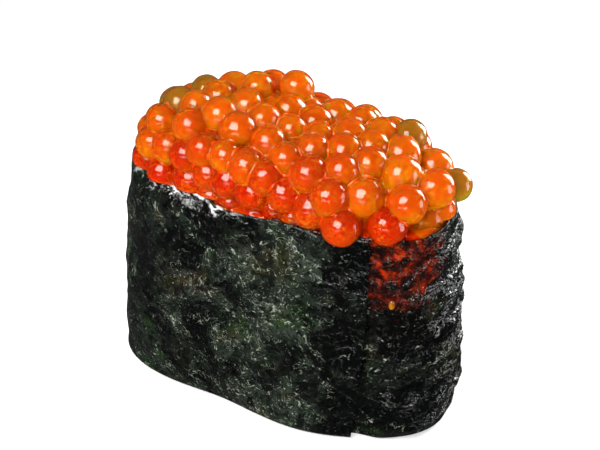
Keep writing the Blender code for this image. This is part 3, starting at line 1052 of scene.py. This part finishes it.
def shown_eggs():
    """The eggs of the packing that show, and the one in the +X end of the well."""
    draw = random.Random(ROE_SEED + 1)
    eggs = []
    for number, (centre, radius) in enumerate(settle_eggs()):
        if shows(centre, radius):
            redness = egg_redness(centre) + draw.uniform(-RED_SCATTER, RED_SCATTER)
            eggs.append(Egg(number, centre, radius, redness))
    middle = Vector(END_EGG[:3])
    eggs.append(Egg(-1, middle, END_EGG[3], egg_redness(middle)))
    return eggs


def held_in(point, *eggs):
    """A point of these eggs, pressed in by the nori unless one of them sags over the rim."""
    sagging = any(egg.number in SAGGING_EGGS for egg in eggs)
    return point if sagging else press_in(point)


def add_egg(work_mesh, egg, draw):
    """Skin of one slightly uneven egg."""
    redness = work_mesh.verts.layers.float["redness"]
    painted_glow_side = work_mesh.verts.layers.float["painted_glow_side"]
    turned = draw.uniform(0.0, math.tau)
    turn = Matrix.Rotation(turned, 4, Vector((draw.random(), draw.random(), 1.0)))
    stretch = Matrix.Diagonal((*(draw.uniform(*EGG_STRETCH) for _ in range(3)), 1.0))
    made = bmesh.ops.create_icosphere(work_mesh, subdivisions=4, radius=1.0)
    offset = Vector((draw.random(), draw.random(), draw.random())) * 50.0
    for vert in made["verts"]:
        ball = vert.co.copy()
        dent = 1.0 + EGG_DENT * noise.noise(ball * EGG_DENT_SCALE + offset)
        place = turn @ stretch @ (ball * egg.radius * dent)
        vert[redness] = egg.redness
        # How low the point sits on its egg: where the painted glow shows.
        vert[painted_glow_side] = smooth(0.5 - 0.5 * place.z / egg.radius)
        vert.co = held_in(egg.centre + place, egg)


def make_eggs(eggs):
    """Skins of the eggs that show: most of them orange, and a few amber."""
    orange = mesh_with("redness", "painted_glow_side")
    amber = mesh_with("redness", "painted_glow_side")
    draw = random.Random(ROE_SEED + 2)
    for egg in eggs:
        add_egg(amber if egg.number in AMBER_EGGS else orange, egg, draw)
    material = egg_material("roe", EGG_PALE, EGG_RED, 0.85)
    link_piece("roe_eggs", orange, material, "roe_heap")
    material = egg_material("roe_amber", AMBER_PALE, AMBER_RED, 0.85)
    link_piece("roe_amber_eggs", amber, material)


def make_drop():
    """The drop of juice that clings to the nori beside its lapped end."""
    angle = strip_angle(DROP_STEP)
    middle = band_point(angle, DROP_HEIGHT, 0.0, -DROP_OUT)
    out = outward(angle, DROP_HEIGHT / NORI_HEIGHT)
    aside = Vector((-out.y, out.x, 0.0))
    work_mesh = bmesh.new()
    made = bmesh.ops.create_icosphere(work_mesh, subdivisions=3, radius=1.0)
    for vert in made["verts"]:
        ball = vert.co
        level = out * (DROP_HALF_SIZES[0] * ball.x) + aside * (DROP_HALF_SIZES[1] * ball.y)
        vert.co = middle + level + Vector((0.0, 0.0, DROP_HALF_SIZES[2] * ball.z))
    material = egg_material("juice_drop", DROP_COLOR, DROP_COLOR, 0.3)
    link_piece("brine_drop", work_mesh, material)


def crease(one, other):
    """Middle, axis and radius of the circle where two eggs meet, or None if they don't."""
    across = other.centre - one.centre
    reach = across.length
    offset = (reach * reach + one.radius ** 2 - other.radius ** 2) / (2.0 * reach)
    if reach >= one.radius + other.radius or abs(offset) >= one.radius:
        return None
    middle = one.centre + across * (offset / reach)
    return middle, across.normalized(), math.sqrt(one.radius ** 2 - offset ** 2)


def add_bead(work_mesh, one, other):
    """Ring of juice in the crease where two eggs press together, if it can show."""
    circle = crease(one, other)
    if circle is None:
        return
    middle, axis, radius = circle
    if middle.z + radius < core_height(middle.x, middle.y):
        return
    redness = work_mesh.verts.layers.float["redness"]
    aside = axis.orthogonal().normalized()
    rows = []
    for step in range(BEAD_STEPS):
        out = Matrix.Rotation(step * math.tau / BEAD_STEPS, 3, axis) @ aside
        swell = smooth(0.35 + 1.6 * noise.noise((middle + out * radius) * 0.9))
        thickness = BEAD_RADIUS * (BEAD_THIN + BEAD_SWELL * swell)
        row = []
        for side in range(BEAD_SIDES):
            lean = side * math.tau / BEAD_SIDES
            shift = out * math.cos(lean) + axis * math.sin(lean)
            point = middle + out * (radius - BEAD_SINK) + shift * thickness
            row.append(work_mesh.verts.new(held_in(point, one, other)))
            row[-1][redness] = 0.5 * (one.redness + other.redness)
        rows.append(row)
    skin_rows(work_mesh, rows + rows[:1])


def make_beads(eggs):
    """Juice held in the creases between the eggs that show."""
    work_mesh = mesh_with("redness")
    for index, one in enumerate(eggs):
        for other in eggs[index + 1:]:
            add_bead(work_mesh, one, other)
    bmesh.ops.recalc_face_normals(work_mesh, faces=work_mesh.faces[:])
    link_piece("roe_juice", work_mesh, juice_material())


# ---- Brine

def inside_ring(height, turn, gap):
    """Ring of points at a gap inside the band, past both layers where it laps itself."""
    ring = []
    for step in range(AROUND):
        lapped = max(tucked_share(step + 1), 1.0 - smooth(step - LAP_STEPS))
        depth = NORI_THICKNESS + (NORI_THICKNESS + LAP_GAP) * lapped
        ring.append(band_point(strip_angle(step), height, turn, depth + gap))
    return ring


def dome_ring(share):
    """Ring on the core's top, at a share of the way out to the dome's edge."""
    ring = []
    for step in range(AROUND):
        angle = strip_angle(step)
        reach = share * rim_reach(angle, CORE_DEPTH)
        x = reach * math.cos(angle)
        y = reach * math.sin(angle)
        ring.append(Vector((x, y, max(core_height(x, y), BRINE_LEVEL))))
    return ring


def close_rings(work_mesh, rings):
    """Skin a stack of rings and close both its ends."""
    rows = [[work_mesh.verts.new(point) for point in ring] for ring in rings]
    skin_rows(work_mesh, rows)
    work_mesh.faces.new(rows[0][::-1])
    work_mesh.faces.new(rows[-1])
    bmesh.ops.recalc_face_normals(work_mesh, faces=work_mesh.faces[:])


def rounded(work_mesh):
    """A new mesh, in millimetres, of the united shells with their creases rounded off."""
    form = new_object("form", work_mesh)
    remesh = form.modifiers.new("remesh", "REMESH")
    remesh.mode = "VOXEL"
    remesh.voxel_size = BRINE_VOXEL * MM
    soften = form.modifiers.new("soften", "SMOOTH")
    soften.factor = 0.5
    soften.iterations = BRINE_SOFTENING
    depsgraph = bpy.context.evaluated_depsgraph_get()
    smoothed = bpy.data.meshes.new_from_object(form.evaluated_get(depsgraph))
    bpy.data.objects.remove(form, do_unlink=True)
    work_mesh = bmesh.new()
    work_mesh.from_mesh(smoothed)
    bmesh.ops.scale(work_mesh, vec=(1.0 / MM, 1.0 / MM, 1.0 / MM), verts=work_mesh.verts[:])
    return work_mesh


def color_brine(work_mesh, eggs):
    """Give each point the looks of the egg that it belongs to, and press it in with that egg."""
    names = ("redness", "seam", "amber", "painted_glow_side")
    redness, seam, amber, painted_glow_side = (work_mesh.verts.layers.float.new(name) for name in names)
    tree = KDTree(len(eggs))
    for index, egg in enumerate(eggs):
        tree.insert(egg.centre, index)
    tree.balance()
    for vert in work_mesh.verts:
        near = [eggs[index] for _, index, _ in tree.find_n(vert.co, 4)]
        egg = min(near, key=lambda one: (one.centre - vert.co).length / one.radius)
        depth = (egg.centre - vert.co).length / egg.radius
        vert[redness] = egg.redness
        vert[seam] = smooth((depth - MIDDLE_SHARE - SEAM_FROM) / SEAM_FADE)
        vert[amber] = float(egg.number in AMBER_EGGS)
        # How low the point sits on its egg: where the painted glow shows.
        vert[painted_glow_side] = smooth(0.5 - 0.5 * (vert.co.z - egg.centre.z) / egg.radius)
        vert.co = held_in(vert.co, egg)


def make_brine(eggs):
    """The eggs' cloudy middles, in one with a core that fills the well under them."""
    work_mesh = bmesh.new()
    rings = [inside_ring(height, 0.0, CLEARANCE) for height in BRINE_LEVELS]
    rings += [dome_ring(share) for share in DOME_SHARES]
    close_rings(work_mesh, rings)
    for egg in eggs:
        place = Matrix.Translation(egg.centre)
        radius = egg.radius * MIDDLE_SHARE
        bmesh.ops.create_icosphere(work_mesh, subdivisions=3, radius=radius, matrix=place)
    work_mesh = rounded(work_mesh)
    color_brine(work_mesh, eggs)
    link_piece("roe_brine", work_mesh, brine_material())


# ---- Rice

def add_grain(work_mesh, spot, draw):
    """One cooked grain lying flat, with its lowest side pressed level."""
    made = bmesh.ops.create_uvsphere(work_mesh, u_segments=14, v_segments=9, radius=1.0)
    heading = Matrix.Rotation(draw.uniform(0.0, math.pi), 4, "Z")
    turn = heading @ Matrix.Rotation(draw.uniform(-GRAIN_TIP, GRAIN_TIP), 4, "Y")
    half = Vector([draw.uniform(*sizes) for sizes in GRAIN_HALF_SIZES])
    lift = draw.uniform(*GRAIN_LIFT)
    for vert in made["verts"]:
        ball = vert.co
        shaped = turn @ Vector((half.x * ball.z, half.y * ball.y, half.z * ball.x))
        pressed = GRAIN_FOOT + GRAIN_BOW * (shaped.x / GRAIN_HALF_SIZES[0][1]) ** 2
        height = max(shaped.z + lift, pressed)
        vert.co = Vector((spot.x + shaped.x, spot.y + shaped.y, height))


def scatter_grains(work_mesh):
    """Grains over the underside, none of them too close to another."""
    draw = random.Random(RICE_SEED)
    placed = []
    for _ in range(GRAIN_TRIES):
        if len(placed) == RICE_GRAINS:
            break
        angle = draw.uniform(-math.pi, math.pi)
        reach = outline_radius(angle, 0.0, FOOT_RADIUS + GRAIN_INSET) * math.sqrt(draw.random())
        spot = Vector((LEAN_X + reach * math.cos(angle), LEAN_Y + reach * math.sin(angle)))
        if all((spot - other).length >= GRAIN_GAP for other in placed):
            placed.append(spot)
            add_grain(work_mesh, spot, draw)


def make_rice():
    """Rice: a core, and whole grains pressed flat in its underside."""
    material = rice_material()
    foot = inside_ring(0.0, FOOT_TURN, 2.0 * CLEARANCE)
    for point in foot:
        point.z = RICE_CORE_FLOOR
    rings = [foot, inside_ring(FOOT_RADIUS, 0.0, CLEARANCE)]
    rings += [inside_ring(height, 0.0, CLEARANCE) for height in RICE_CORE_LEVELS]
    core = bmesh.new()
    close_rings(core, rings)
    link_piece("rice_core", core, material, "rice_block")
    grains = bmesh.new()
    scatter_grains(grains)
    link_piece("rice_grains", grains, material)


# ------------ studio

def aim(thing, target, roll=0.0):
    """Point a camera or a light at a spot, given in metres."""
    look = (target - thing.location).to_track_quat("-Z", "Y").to_matrix().to_4x4()
    turned = look @ Matrix.Rotation(roll, 4, "Z")
    thing.rotation_euler = turned.to_euler()


def add_softbox(name, at, size, power):
    """An area light that faces the middle of the piece."""
    data = bpy.data.lights.new(name, "AREA")
    data.shape = "RECTANGLE"
    data.size = size[0] * MM
    data.size_y = size[1] * MM
    data.energy = power
    light = bpy.data.objects.new(name, data)
    light.location = Vector(at) * MM
    # The fill lightens the near side without a highlight of its own.
    light.visible_glossy = name != "fill"
    aim(light, LIT_POINT * MM)
    bpy.context.scene.collection.objects.link(light)


def make_studio():
    """Floor, pale surroundings and softboxes."""
    bpy.ops.mesh.primitive_plane_add(size=FLOOR_SIZE * MM, location=(0.0, 0.0, -FLOOR_DROP * MM))
    floor = bpy.context.object
    floor.name = "floor"
    floor.data.materials.append(floor_material())
    floor.visible_glossy = False

    world = bpy.data.worlds.new("studio")
    bpy.context.scene.world = world
    graph = Graph(world)
    sky = graph.add("ShaderNodeBackground", {"Color": WHITE, "Strength": SKY_STRENGTH})
    graph.add("ShaderNodeOutputWorld", {"Surface": sky}, output=None)

    for softbox in SOFTBOXES:
        add_softbox(*softbox)


def make_camera():
    data = bpy.data.cameras.new("camera")
    data.lens = CAMERA_LENS
    data.sensor_width = 36.0
    data.clip_start = 0.01
    data.clip_end = 10.0
    camera = bpy.data.objects.new("camera", data)
    camera.location = CAMERA_AT * MM
    aim(camera, CAMERA_TO * MM, CAMERA_ROLL)
    bpy.context.scene.collection.objects.link(camera)
    bpy.context.scene.camera = camera


def main():
    bpy.context.scene.view_settings.view_transform = "Standard"
    make_studio()
    make_camera()
    make_nori()
    eggs = shown_eggs()
    make_eggs(eggs)
    make_drop()
    make_beads(eggs)
    make_brine(eggs)
    make_rice()


main()
